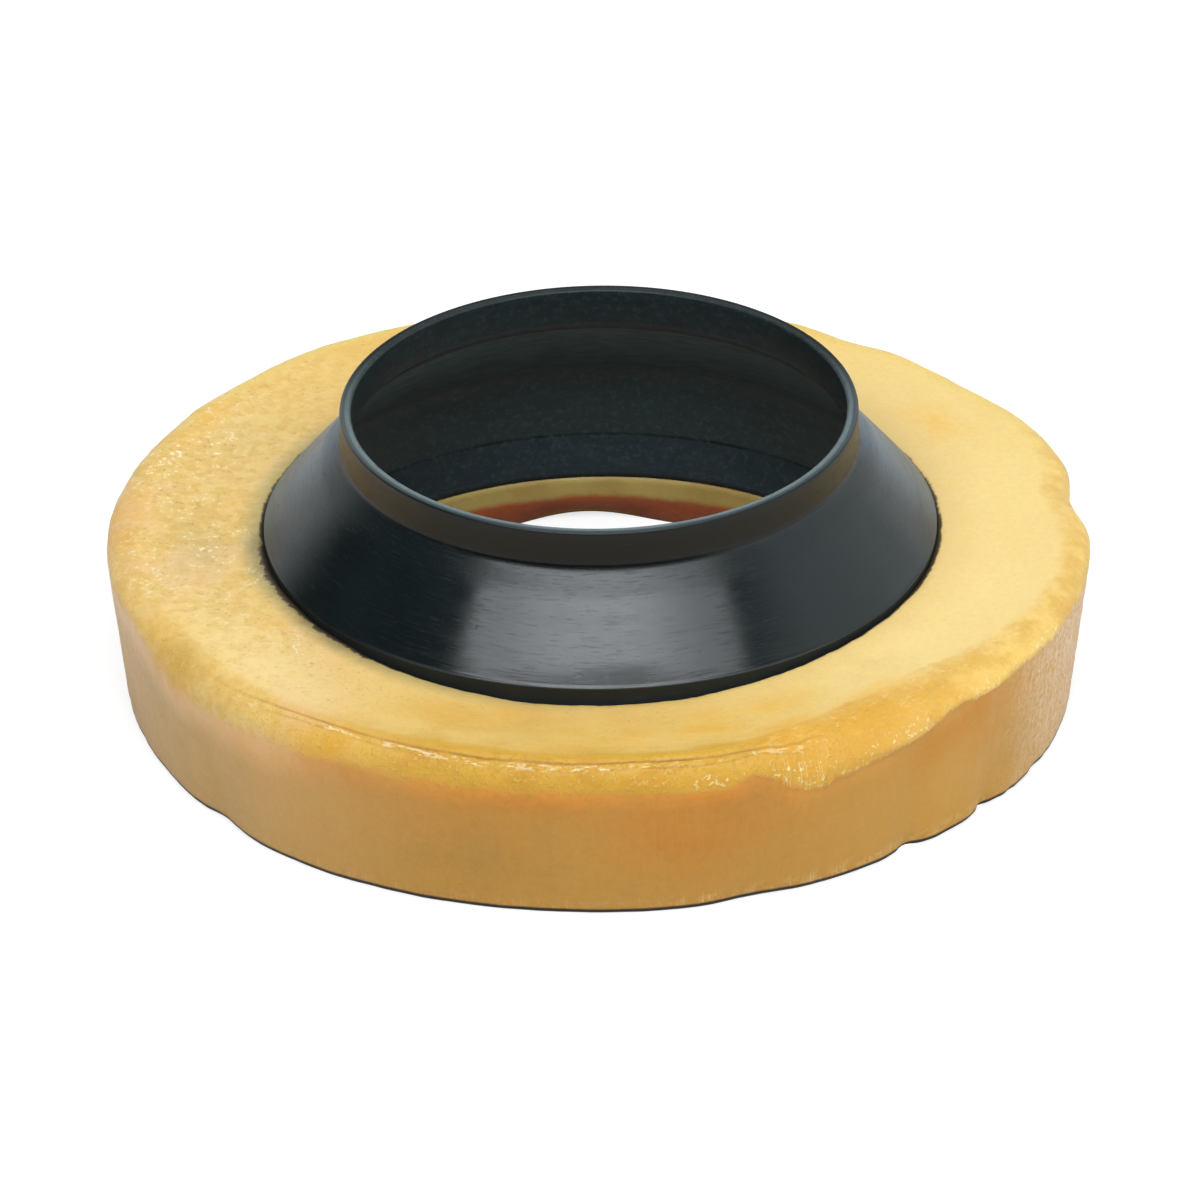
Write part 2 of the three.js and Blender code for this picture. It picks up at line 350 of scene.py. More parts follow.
class NodeMaker:
    """Short calls for adding, setting and linking shader nodes."""

    def __init__(self, tree):
        self.tree = tree

    def add(self, kind, values=None, **settings):
        node = self.tree.nodes.new("ShaderNode" + kind)
        for key, value in settings.items():
            setattr(node, key, value)
        for key, value in (values or {}).items():
            if isinstance(value, bpy.types.NodeSocket):
                self.tree.links.new(value, node.inputs[key])
            else:
                node.inputs[key].default_value = value
        return node

    def math(self, operation, first, second=0.0):
        return self.add("Math", {0: first, 1: second}, operation=operation).outputs[0]

    def minus(self, first, second):
        return self.math("SUBTRACT", first, second)

    def times(self, *factors):
        result = factors[0]
        for factor in factors[1:]:
            result = self.math("MULTIPLY", result, factor)
        return result

    def plus(self, *parts):
        result = parts[0]
        for part in parts[1:]:
            result = self.math("ADD", result, part)
        return result

    def ramp(self, value, low, high, to_low=0.0, to_high=1.0):
        values = {"Value": value, "From Min": low, "From Max": high, "To Min": to_low, "To Max": to_high}
        return self.add("MapRange", values, interpolation_type="SMOOTHSTEP").outputs[0]

    def mix(self, share, first, second, blend="MIX"):
        values = {"Factor": share, 6: first, 7: second}
        return self.add("Mix", values, data_type="RGBA", blend_type=blend).outputs[2]

    def over(self, under, colour, *shares, blend="MIX"):
        """A colour laid over another, as strongly as the product of the shares says."""
        return self.mix(self.times(*shares), under, colour, blend)

    def from_axis(self, x, y):
        """Distance from the ring's centre line."""
        return self.math("SQRT", self.plus(self.times(x, x), self.times(y, y)))

    def attribute(self, name):
        return self.add("Attribute", attribute_name=name).outputs["Fac"]

    def line(self, value, middle, half):
        """1 where the value is at the middle, 0 half a width to either side."""
        away = self.math("ABSOLUTE", self.minus(value, middle))
        return self.ramp(away, half, half * 0.3)

    def noise(self, where, scale, detail=3.0, roughness=0.6):
        values = {"Vector": where, "Scale": scale, "Detail": detail, "Roughness": roughness}
        return self.add("TexNoise", values).outputs[0]

    def group(self, tree, **values):
        node = self.tree.nodes.new("ShaderNodeGroup")
        node.node_tree = tree
        for key, value in values.items():
            node.inputs[key].default_value = value
        return node.outputs[0]


def rgb(red, green, blue):
    return (red, green, blue, 1.0)


def new_material(name):
    """An empty node material, and the maker of its nodes."""
    material = bpy.data.materials.new(name)
    material.use_nodes = True
    material.node_tree.nodes.clear()
    return material, NodeMaker(material.node_tree)


def group_with(name, inputs, output):
    """A shader node group with named float inputs and one float output."""
    tree = bpy.data.node_groups.new(name, "ShaderNodeTree")
    for label, value in inputs:
        socket = tree.interface.new_socket(label, in_out="INPUT", socket_type="NodeSocketFloat")
        socket.default_value = value
    tree.interface.new_socket(output, in_out="OUTPUT", socket_type="NodeSocketFloat")
    given = tree.nodes.new("NodeGroupInput").outputs
    out = tree.nodes.new("NodeGroupOutput").inputs
    return tree, NodeMaker(tree), given, out


def build_round_streaks():
    """Fine marks drawn round the centre line, as from turning, wiping or smearing."""
    inputs = (("Turns", 30.0), ("Fineness", 900.0), ("From", 0.45), ("To", 0.7))
    tree, make, given, out = group_with("Round Streaks", inputs, "Mask")
    x, y, z = make.add("SeparateXYZ", {0: make.add("TexCoord").outputs["Object"]}).outputs
    turn = make.math("ARCTAN2", y, x)
    along = make.times(make.math("COSINE", turn), given["Turns"])
    across = make.times(make.math("SINE", turn), given["Turns"])
    rise = make.times(make.minus(z, make.from_axis(x, y)), given["Fineness"])
    where = make.add("CombineXYZ", {0: along, 1: across, 2: rise}).outputs[0]
    values = {"Value": make.noise(where, 1.0), "From Min": given["From"], "From Max": given["To"]}
    tree.links.new(make.add("MapRange", values).outputs[0], out["Mask"])
    return tree


def build_down_streaks():
    """Fine marks drawn down the wall, as if combed from the top edge to the foot."""
    inputs = (("Turns", 200.0), ("Length", 200.0), ("From", 0.5), ("To", 0.7))
    tree, make, given, out = group_with("Down Streaks", inputs, "Mask")
    x, y, z = make.add("SeparateXYZ", {0: make.add("TexCoord").outputs["Object"]}).outputs
    turn = make.math("ARCTAN2", y, x)
    along = make.times(make.math("COSINE", turn), given["Turns"])
    across = make.times(make.math("SINE", turn), given["Turns"])
    fall = make.times(z, given["Length"])
    where = make.add("CombineXYZ", {0: along, 1: across, 2: fall}).outputs[0]
    values = {"Value": make.noise(where, 1.0), "From Min": given["From"], "From Max": given["To"]}
    tree.links.new(make.add("MapRange", values).outputs[0], out["Mask"])
    return tree


round_streaks = build_round_streaks()
down_streaks = build_down_streaks()


def wax_places(make):
    """Places, marks and textures on the wax that its colours are mixed by."""
    on = SimpleNamespace()
    where = make.add("TexCoord").outputs["Object"]
    on.x, on.y, on.z = make.add("SeparateXYZ", {0: where}).outputs
    on.radius = make.from_axis(on.x, on.y)
    on.roll = make.attribute("roll")
    on.flecked = make.attribute("flecked")
    on.top = make.ramp(on.roll, 3.0, 5.0)
    on.left = make.ramp(on.x, -0.022, -0.05)
    on.right = make.ramp(on.x, 0.004, 0.036)
    on.cloudy = make.noise(where, 38.0, 4.0)
    on.broad = make.noise(where, 17.0, 2.0, 0.5)
    on.mottled = make.noise(where, 160.0, 4.0, 0.65)
    on.grain = make.noise(where, 1100.0, 2.0)
    on.speckle = make.noise(where, 1500.0, 2.0)
    on.coarse = make.noise(where, 700.0, 3.0, 0.7)
    on.crumbly = make.noise(where, 520.0, 2.0)
    on.smears = make.group(round_streaks, Turns=3.0, Fineness=260.0, From=0.42, To=0.68)
    on.combed = make.group(down_streaks, Turns=260.0, Length=160.0, From=0.5, To=0.66)
    on.drawn = make.group(round_streaks, Turns=40.0, Fineness=1400.0, From=0.50, To=0.60)
    on.uneven = make.ramp(on.mottled, 0.32, 0.62, 0.35, 1.0)
    on.wander = make.times(make.minus(on.mottled, 0.5), 4.0)
    tan = make.mix(make.ramp(on.crumbly, 0.34, 0.64), rgb(0.76, 0.475, 0.130), rgb(0.825, 0.575, 0.195))
    on.tan = make.over(tan, rgb(0.82, 0.53, 0.26), make.ramp(on.cloudy, 0.52, 0.62), 0.7)
    return on


def wall_colour(make, on):
    """Deep amber, paler at the left and painted lighter at the right, with a white sheen painted at the far
    right and a contact shadow painted as a dark line at the foot.
    """
    wall = make.mix(make.ramp(on.z, 0.002, 0.018), rgb(0.49, 0.250, 0.038), rgb(0.52, 0.238, 0.031))
    wall = make.over(wall, rgb(0.54, 0.225, 0.024), make.ramp(on.broad, 0.45, 0.68), 0.6)
    wall = make.over(wall, rgb(0.66, 0.275, 0.032), make.ramp(on.roll, -4.0, -0.5))
    wall = make.over(wall, rgb(0.47, 0.26, 0.055), make.ramp(on.mottled, 0.42, 0.62), 0.3)
    brushed = make.times(on.combed, make.ramp(on.cloudy, 0.4, 0.62, 0.2, 1.0))
    wall = make.over(wall, rgb(0.62, 0.37, 0.11), brushed, 0.10)
    wall = make.over(wall, rgb(0.34, 0.17, 0.03), make.ramp(on.coarse, 0.50, 0.62), 0.14)
    # Painted light: the wall made lighter towards the right, as the light falls there.
    wall = make.over(wall, rgb(0.585, 0.305, 0.048), make.ramp(on.x, 0.02, 0.05), 0.7)
    wall = make.over(wall, rgb(0.615, 0.365, 0.118), make.ramp(on.x, -0.018, -0.058), 0.8)
    peach = make.times(make.ramp(on.x, -0.035, -0.05), make.ramp(on.roll, -7.0, -1.5))
    wall = make.over(wall, rgb(0.80, 0.475, 0.205), peach, 0.8)
    # Painted sheen: pale, speckled white on the far right end of the wall, for its grazing sheen.
    side_patch = make.times(make.ramp(on.x, 0.054, 0.067), make.ramp(on.combed, 0.0, 0.8, 0.5, 1.0))
    side_patch = make.times(side_patch, make.ramp(on.speckle, 0.36, 0.60, 0.3, 1.0), make.ramp(on.y, 0.045, -0.01))
    wall = make.over(wall, rgb(0.95, 0.80, 0.66), side_patch, 0.7)
    # Paler, speckled colour at the far left end of the wall.
    pale_left_end = make.times(make.ramp(on.x, -0.054, -0.068), make.ramp(on.speckle, 0.40, 0.66, 0.3, 1.0))
    pale_left_end = make.times(pale_left_end, make.ramp(on.mottled, 0.36, 0.60, 0.3, 1.0))
    wall = make.over(wall, rgb(0.80, 0.60, 0.42), pale_left_end, 0.36)
    hatched = make.times(make.ramp(on.z, 0.0036, 0.0012), make.ramp(on.combed, 0.2, 1.0, 0.3, 1.0))
    hatched = make.times(hatched, make.ramp(on.coarse, 0.47, 0.58), make.ramp(on.x, -0.01, 0.03, 0.25, 0.6))
    wall = make.over(wall, rgb(0.82, 0.60, 0.28), hatched)
    # Painted contact shadow: a dark line round the very foot of the wall.
    foot_line = make.times(make.ramp(on.z, 0.0011, 0.0007), make.ramp(on.radius, 0.055, 0.060))
    foot_line = make.times(foot_line, make.ramp(on.z, 0.00008, 0.00016))
    return make.over(wall, rgb(0.012, 0.008, 0.005), foot_line)


def underside_colour(make, on):
    """Wax pressed flat against whatever it was laid on."""
    pressed = make.mix(make.ramp(on.cloudy, 0.4, 0.62), rgb(0.60, 0.30, 0.045), rgb(0.71, 0.42, 0.09))
    pressed = make.over(pressed, rgb(0.78, 0.50, 0.14), on.smears, 0.4)
    return make.over(pressed, rgb(0.52, 0.24, 0.035), make.ramp(on.mottled, 0.46, 0.62), 0.5)


def face_colour(make, on):
    """The flat top: clouded, smeared round the centre line and palest at the right, where a sheen is
    painted in.
    """
    face = make.mix(make.ramp(on.cloudy, 0.38, 0.66), rgb(0.74, 0.450, 0.100), rgb(0.80, 0.545, 0.150))
    face = make.over(face, rgb(0.75, 0.42, 0.085), make.ramp(on.mottled, 0.46, 0.68), 0.4)
    face = make.over(face, rgb(0.86, 0.60, 0.21), on.smears, 0.35)
    front_band = make.times(make.ramp(on.roll, 9.0, 5.0), make.ramp(on.y, -0.04, -0.055))
    face = make.over(face, rgb(0.66, 0.385, 0.066), front_band, 0.75)
    # Painted sheen: the top made paler at the right.
    face = make.over(face, rgb(0.86, 0.64, 0.25), on.right, 0.75)
    face = make.over(face, rgb(0.74, 0.50, 0.18), make.ramp(on.roll, 13.0, 20.0), 0.5)
    return make.over(face, on.tan, on.left, 0.85)


def shoulder_colour(make, on):
    """The rolled shoulder: golden in front, tan at the left and pale behind."""
    shoulder = make.mix(make.ramp(on.mottled, 0.4, 0.65), rgb(0.62, 0.355, 0.036), rgb(0.56, 0.285, 0.024))
    shoulder = make.over(shoulder, on.tan, on.left, 0.8)
    shoulder = make.over(shoulder, rgb(0.67, 0.355, 0.048), make.ramp(on.x, 0.012, 0.035), 0.8)
    faded = make.times(make.ramp(on.x, 0.036, 0.056), make.ramp(on.mottled, 0.38, 0.62, 0.35, 0.95))
    shoulder = make.over(shoulder, rgb(0.84, 0.56, 0.155), faded)
    return make.over(shoulder, rgb(0.80, 0.56, 0.13), make.ramp(on.y, 0.01, 0.04))


def above_the_edge(make, on):
    """1 above the edge of the rolled-over top and 0 on the wall under it.

    The edge is frayed and crisp at the right-hand front, and blurred at the left and behind.
    """
    fray = make.plus(make.times(make.minus(on.grain, 0.5), 1.6), on.wander)
    frayed = make.ramp(make.plus(on.roll, fray), -0.35, 0.25)
    behind = make.ramp(on.y, 0.0, 0.03)
    blur_low = make.ramp(behind, 0.0, 1.0, -1.2, -4.0)
    blur_high = make.ramp(behind, 0.0, 1.0, 1.0, 3.4)
    blurred = make.ramp(make.plus(on.roll, on.wander), blur_low, blur_high)
    crisp = make.times(make.ramp(on.x, -0.02, 0.03, 0.25, 1.0), make.ramp(behind, 1.0, 0.0))
    return make.plus(make.times(frayed, crisp), make.times(blurred, make.minus(1.0, crisp)))


def stained(make, on, colour):
    """Pale, warm and dusky stains from handling; the dusky ones at the horn's foot and the warm one under
    the torn lip are painted shade.
    """
    colour = make.over(colour, rgb(0.88, 0.68, 0.30), make.attribute("pale"), on.uneven, on.top, 0.6)
    # Warm: deeper orange, painted shade under the torn lip and stains elsewhere.
    warm = make.times(make.attribute("warm"), on.uneven)
    golden = make.times(warm, make.line(on.roll, 1.6, 3.0))
    colour = make.over(colour, rgb(1.0, 0.78, 0.34), make.minus(warm, golden), blend="MULTIPLY")
    colour = make.over(colour, rgb(0.72, 0.37, 0.030), golden, 0.75)
    # Dusky: a grey-green darkening, painted shade at the horn's foot and stains elsewhere.
    return make.over(colour, rgb(0.74, 0.80, 0.72), make.attribute("dusky"), on.uneven, blend="MULTIPLY")


def creased(make, on, colour):
    """The crease round the top in front: a dark line of painted shade in it, with a pale, drawn edge
    outside it that is partly a painted highlight.
    """
    side = make.attribute("crease_side")
    shown = make.attribute("crease_shown")
    # Painted shade: dark lines along the crease.
    second = make.times(make.line(side, 0.95, 0.22), make.ramp(on.cloudy, 0.42, 0.6), 0.5)
    dark = make.times(shown, make.plus(make.times(make.line(side, 0.0, 0.30), 0.8), second))
    colour = make.over(colour, rgb(0.36, 0.17, 0.03), dark)
    # Pale drawn edge outside the crease, partly a painted highlight.
    pale = make.times(shown, make.line(side, 0.62, 0.55), make.ramp(on.drawn, 0.1, 0.8))
    return make.over(colour, rgb(1.0, 0.90, 0.62), pale, make.ramp(on.mottled, 0.42, 0.54), 0.6)


def crumbled(make, on, colour):
    """Bright and dark flecks at the left, the bright ones partly painted glints, pale crumbs and strands
    along the torn lip, and fine dark specks on the upper wall."""
    # Pale flecks, partly painted glints off the raised flecks at the left.
    pale = make.times(make.ramp(on.speckle, 0.56, 0.62), make.ramp(on.crumbly, 0.48, 0.57))
    colour = make.over(colour, rgb(1.0, 0.91, 0.64), pale, on.flecked, 0.85)
    dark = make.times(make.ramp(on.speckle, 0.44, 0.36), make.ramp(on.crumbly, 0.52, 0.44))
    dark = make.times(dark, make.plus(on.flecked, make.times(on.left, on.top, 0.4)))
    colour = make.over(colour, rgb(0.56, 0.33, 0.08), dark, 0.6)

    at_edge = make.times(make.line(on.roll, 0.6, 1.0), make.ramp(on.x, 0.005, 0.02))
    at_edge = make.times(at_edge, make.ramp(on.y, 0.01, -0.01), make.ramp(on.speckle, 0.56, 0.64))
    at_edge = make.times(at_edge, make.ramp(on.mottled, 0.42, 0.54), 0.7)
    strands = make.times(make.line(on.x, 0.0285, 0.006), make.ramp(on.y, 0.0, -0.05))
    strands = make.times(strands, make.ramp(on.roll, 2.8, 1.2), make.ramp(on.roll, -0.5, 0.1))
    strands = make.times(strands, on.combed, make.ramp(on.speckle, 0.40, 0.56, 0.2, 1.2))
    in_front = make.ramp(on.y, -0.01, -0.025)
    along_lip = make.times(make.line(on.roll, 3.2, 1.6), make.ramp(on.drawn, 0.2, 0.9))
    along_lip = make.times(along_lip, make.ramp(on.crumbly, 0.48, 0.58), 0.28, in_front, on.right)
    dots = make.times(make.ramp(on.speckle, 0.56, 0.66), make.line(on.roll, 1.8, 2.2))
    dots = make.times(dots, make.ramp(on.mottled, 0.46, 0.56), 0.2, in_front)
    crumbs = make.plus(at_edge, make.times(strands, 0.5), along_lip, dots)
    colour = make.over(colour, rgb(0.97, 0.80, 0.40), make.math("MINIMUM", crumbs, 1.0), 0.75)

    specks = make.times(make.ramp(on.speckle, 0.40, 0.34), make.ramp(on.mottled, 0.52, 0.44))
    specks = make.times(specks, make.ramp(on.roll, -3.0, 0.0), make.ramp(on.x, 0.03, 0.0, 0.1, 0.35))
    return make.over(colour, rgb(0.50, 0.28, 0.06), specks)


def shaded_round_horn(make, on, colour):
    """Painted shade where the wax meets the horn, darkest and ragged at the left, and a dark line painted
    in the gap at the horn's edge, ragged with dirt at the left.
    """
    near_top = make.ramp(on.z, 0.019, 0.0225)
    # Painted shade: olive darkening round the horn's foot.
    horn_foot_shade = make.times(make.ramp(on.radius, 0.0525, 0.0485), near_top)
    horn_foot_shade = make.times(horn_foot_shade, make.ramp(on.x, 0.01, -0.035, 0.25, 1.0))
    horn_foot_shade = make.times(horn_foot_shade, make.ramp(on.x, -0.01, 0.02, 1.0, 0.45))
    colour = make.over(colour, rgb(0.34, 0.29, 0.12), horn_foot_shade, 0.7)
    # Painted shadow: a soft grey-green band at the horn's left foot.
    ragged = make.times(make.ramp(on.x, -0.028, -0.038), make.ramp(on.y, 0.004, -0.006))
    shade = make.times(make.ramp(on.radius, 0.0520, 0.0487), ragged, near_top, on.uneven)
    colour = make.over(colour, rgb(0.17, 0.14, 0.065), shade, 0.7)
    # Painted shade in the gap at the horn's edge: a near black line, ragged with dirt specks at the left.
    strays = make.plus(on.mottled, make.times(make.minus(on.coarse, 0.5), 0.5))
    strays = make.times(make.minus(strays, 0.5), make.ramp(ragged, 0.0, 1.0, 0.0012, 0.0036))
    from_horn = make.minus(make.plus(on.radius, strays), make.times(ragged, 0.0004))
    gap_shade_and_dirt = make.times(make.ramp(from_horn, 0.0490, 0.0486), near_top)
    return make.over(colour, rgb(0.035, 0.025, 0.015), gap_shade_and_dirt, 0.92)


def mouth_colour(make, on):
    """The mouth under the horn: an olive band above, and the flare at the floor painted dark red-brown for
    the shade it faces down into.
    """
    # Painted shade: the downward-facing flare in dark red-brown.
    flare = make.mix(make.ramp(on.mottled, 0.35, 0.65), rgb(0.38, 0.082, 0.018), rgb(0.30, 0.068, 0.020))
    band = make.mix(make.ramp(on.cloudy, 0.42, 0.60), rgb(0.42, 0.31, 0.090), rgb(0.36, 0.235, 0.060))
    smeared = make.plus(on.z, make.times(make.minus(on.mottled, 0.5), 0.0020))
    return make.mix(make.ramp(smeared, 0.0044, 0.0056), flare, band)


def wax_material():
    """Amber wax. Lengths are in metres, except the roll and the crease's side, which are in mm."""
    material, make = new_material("amber_wax")
    on = wax_places(make)
    wall = make.over(wall_colour(make, on), underside_colour(make, on), make.ramp(on.z, 0.00006, 0.0))
    face_start = make.ramp(on.x, 0.02, 0.05, 3.2, 2.2)
    onto_face = make.ramp(make.plus(on.roll, on.wander), face_start, 5.2)
    top = make.mix(onto_face, shoulder_colour(make, on), face_colour(make, on))
    colour = make.mix(above_the_edge(make, on), wall, top)
    colour = stained(make, on, colour)
    colour = creased(make, on, colour)
    colour = crumbled(make, on, colour)
    colour = shaded_round_horn(make, on, colour)
    in_mouth = make.times(make.ramp(on.radius, 0.0480, 0.0470), make.ramp(on.z, 0.0185, 0.0165))
    colour = make.over(colour, mouth_colour(make, on), in_mouth)
    grainy = make.ramp(on.grain, 0.40, 0.62, 0.0, 0.16)
    colour = make.over(colour, rgb(0.86, 0.82, 0.72), grainy, blend="MULTIPLY")

    raised = make.plus(on.flecked, make.line(on.roll, 1.6, 2.6))
    lift = make.times(make.ramp(on.speckle, 0.54, 0.64), raised, 1.2)
    lift = make.plus(make.times(on.grain, 0.35), make.times(on.mottled, 0.8), lift)
    bump = make.add("Bump", {"Height": lift, "Strength": 0.4, "Distance": 0.0006}).outputs[0]
    wetness = make.ramp(on.left, 0.0, 1.0, 0.0, -0.1)
    shader = make.add("BsdfPrincipled", {
        "Base Color": colour,
        "Roughness": make.plus(make.ramp(on.mottled, 0.3, 0.7, 0.48, 0.62), wetness),
        "Normal": bump,
        "IOR": 1.44,
        "Subsurface Weight": 0.2,
        "Subsurface Radius": (1.0, 0.5, 0.15),
        "Subsurface Scale": 0.002,
    })
    make.add("OutputMaterial", {"Surface": shader.outputs[0]})
    return material


wax_body = add_piece("wax_body", ring_mesh, wax_material())
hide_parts("wax_ring")

# Horn. One moulding in black polyethylene: a short collar at the outlet, a cone, and a skirt
# with a flange that the wax grips. Its wall is even, its rim is barely rounded, and the
# cone carries fine scuffs that run round it.
HORN_COLUMNS = 360
outlet_r = 37 * MM
rim_z = horn_high.z
collar_height = 5.3 * MM
cone_height = 13.6 * MM
collar_z = rim_z - collar_height
foot_z = collar_z - cone_height
collar_wall = 1.7 * MM
cone_wall = 1.4 * MM
lip_wall = 1.4 * MM
wax_step = 0.2 * MM
rim_round = 0.4 * MM
flange_round = 0.8 * MM
inside_fillet = 7 * MM


def horn_section():
    """The horn's closed outline as (radius, height) points, from the lip's inner end."""
    slope = math.atan2(skirt_r - outlet_r, collar_z - foot_z)
    inner_r = skirt_r - skirt_wall
    lip_inner_r = bore_r - wax_step
    collar_inner_r = outlet_r - collar_wall

    def cone_inner_z(r):
        return foot_z + (skirt_r - r) / math.tan(slope) - cone_wall / math.sin(slope)

    def arc(r, z, size, start, end, count):
        for t in shares(count):
            turn = math.radians(start + (end - start) * t)
            yield r + size * math.cos(turn), z + size * math.sin(turn)

    def line(start, end, count):
        for t in shares(count, ends=False)[1:]:
            yield start[0] + (end[0] - start[0]) * t, start[1] + (end[1] - start[1]) * t

    def bend(before, corner, after, count):
        """A soft turn from one point to another that stays inside their corner."""
        for t in shares(count):
            yield tuple(
                (1 - t) ** 2 * a + 2 * t * (1 - t) * b + t * t * c
                for a, b, c in zip(before, corner, after)
            )

    def cone_face(start, end, count, bulge):
        """A cone drawn slightly full, most of all close to its foot."""
        for t in shares(count, ends=False)[1:]:
            pull = -bulge * (1 - math.exp(-t / 0.15) - t)
            r = start[0] + (end[0] - start[0]) * t - pull * math.cos(slope)
            yield r, start[1] + (end[1] - start[1]) * t - pull * math.sin(slope)

    # Outside, from the lip up over the flange, the skirt, the cone and the collar.
    points = [(lip_inner_r, lip_z), (lip_inner_r + lip_wall, lip_z), (inner_r + lip_wall, flange_z)]
    points += arc(horn_high.x - flange_round, flange_z + flange_round, flange_round, -90, 90, 6)
    points += [(skirt_r, flange_top_z), (skirt_r, foot_z - 0.35 * MM)]
    foot_edge = (skirt_r - 0.12 * MM, foot_z + 0.14 * MM)
    along = Vector((skirt_r - outlet_r, foot_z - collar_z)).normalized() * 0.8 * MM
    corner = (outlet_r, collar_z)
    collar_edge = (outlet_r + along.x, collar_z + along.y)
    collar_foot = (outlet_r, collar_z + 0.7 * MM)
    points += [(skirt_r + 0.02 * MM, foot_z - 0.10 * MM), (skirt_r + 0.01 * MM, foot_z + 0.05 * MM)]
    points += [foot_edge, *cone_face(foot_edge, collar_edge, 34, 0.17 * MM)]
    points += bend(collar_edge, corner, collar_foot, 7)
    points += [(outlet_r, collar_z + 1.5 * MM), (outlet_r, rim_z - 1.2 * MM)]
    points += arc(outlet_r - rim_round, rim_z - rim_round, rim_round, 0, 90, 5)
    points += arc(collar_inner_r + rim_round, rim_z - rim_round, rim_round, 90, 180, 5)
    # Inside, back down the collar, the cone, the fillet and the skirt to the lip.
    crease_z = cone_inner_z(collar_inner_r)
    points += [(collar_inner_r, rim_z - 1.2 * MM), (collar_inner_r, crease_z + 0.25 * MM)]
    fillet_z = cone_inner_z(inner_r) - inside_fillet * math.tan(slope / 2)
    fillet = list(arc(inner_r - inside_fillet, fillet_z, inside_fillet, math.degrees(slope), 0, 12))
    crease = (collar_inner_r + 0.15 * MM, crease_z - 0.1 * MM)
    points += [crease, *line(crease, fillet[0], 10), *fillet]
    crease_low = (inner_r, flange_z + 0.2 * MM)
    points += [*line(fillet[-1], crease_low, 8), crease_low, (inner_r - 0.1 * MM, flange_z - 0.2 * MM)]
    points += line((inner_r - 0.1 * MM, flange_z - 0.2 * MM), (lip_inner_r, lip_z), 5)
    return np.array(points)


def horn_mesh():
    outline = horn_section()
    angles = np.arange(HORN_COLUMNS) * 360 / HORN_COLUMNS - 180
    radius = np.tile(outline[:, 0], (HORN_COLUMNS, 1))
    height = np.tile(outline[:, 1], (HORN_COLUMNS, 1))
    return revolved_mesh("horn_shell", radius, height, angles)


def build_flecks():
    """Small separate specks of uneven outline. Amount says how many of the places hold one."""
    inputs = (("Scale", 600.0), ("Amount", 0.3), ("Size", 0.35))
    tree, make, given, out = group_with("Flecks", inputs, "Mask")
    where = make.add("TexCoord").outputs["Object"]
    wobble = make.add("TexNoise", {"Vector": where, "Scale": 900.0, "Detail": 1.0}).outputs[1]
    reach = (1.2 * MM, 1.2 * MM, 1.2 * MM)
    shifted = make.add("VectorMath", {0: wobble, 1: reach}, operation="MULTIPLY").outputs[0]
    moved = make.add("VectorMath", {0: where, 1: shifted}, operation="ADD").outputs[0]
    cells = make.add("TexVoronoi", {"Vector": moved, "Scale": given["Scale"]})
    pick = make.add("SeparateColor", {0: cells.outputs["Color"]}).outputs[0]
    chosen = make.math("LESS_THAN", pick, given["Amount"])
    values = {"Value": cells.outputs["Distance"], "From Min": given["Size"], "From Max": 0.05}
    tree.links.new(make.times(chosen, make.add("MapRange", values).outputs[0]), out["Mask"])
    return tree


flecks = build_flecks()


def horn_places(make):
    """Places and marks on the horn that its tones and its gloss are mixed by."""
    on = SimpleNamespace()
    on.where = make.add("TexCoord").outputs["Object"]
    on.x, on.y, on.z = make.add("SeparateXYZ", {0: on.where}).outputs
    on.fine = make.group(round_streaks, Turns=14.0, Fineness=2600.0, From=0.52, To=0.74)
    on.broad = make.group(round_streaks, Turns=2.5, Fineness=420.0, From=0.4, To=0.75)
    on.cloudy = make.noise(on.where, 60.0, 4.0)
    facing = make.add("SeparateXYZ", {0: make.add("NewGeometry").outputs["Normal"]}).outputs
    outward = make.plus(make.times(on.x, facing[0]), make.times(on.y, facing[1]))
    on.inside = make.ramp(outward, 0.001, -0.001)
    on.outside = make.minus(1.0, on.inside)
    on.collar = make.ramp(on.z, collar_z, collar_z + 0.6 * MM)
    radius = make.from_axis(on.x, on.y)
    flat_rim = make.times(make.ramp(radius, 36.9 * MM, 36.7 * MM), make.ramp(radius, 35.45 * MM, 35.7 * MM))
    # The band across the rim's top that carries a painted highlight.
    rim_light_band = make.plus(make.times(make.line(radius, 35.95 * MM, 0.45 * MM), 0.75), 0.40)
    wiped = make.ramp(on.fine, 0.0, 1.0, 1.0, 0.5)
    on.rim = make.times(make.ramp(on.z, rim_z - 0.5 * MM, rim_z - 0.15 * MM), wiped, flat_rim, rim_light_band)
    return on


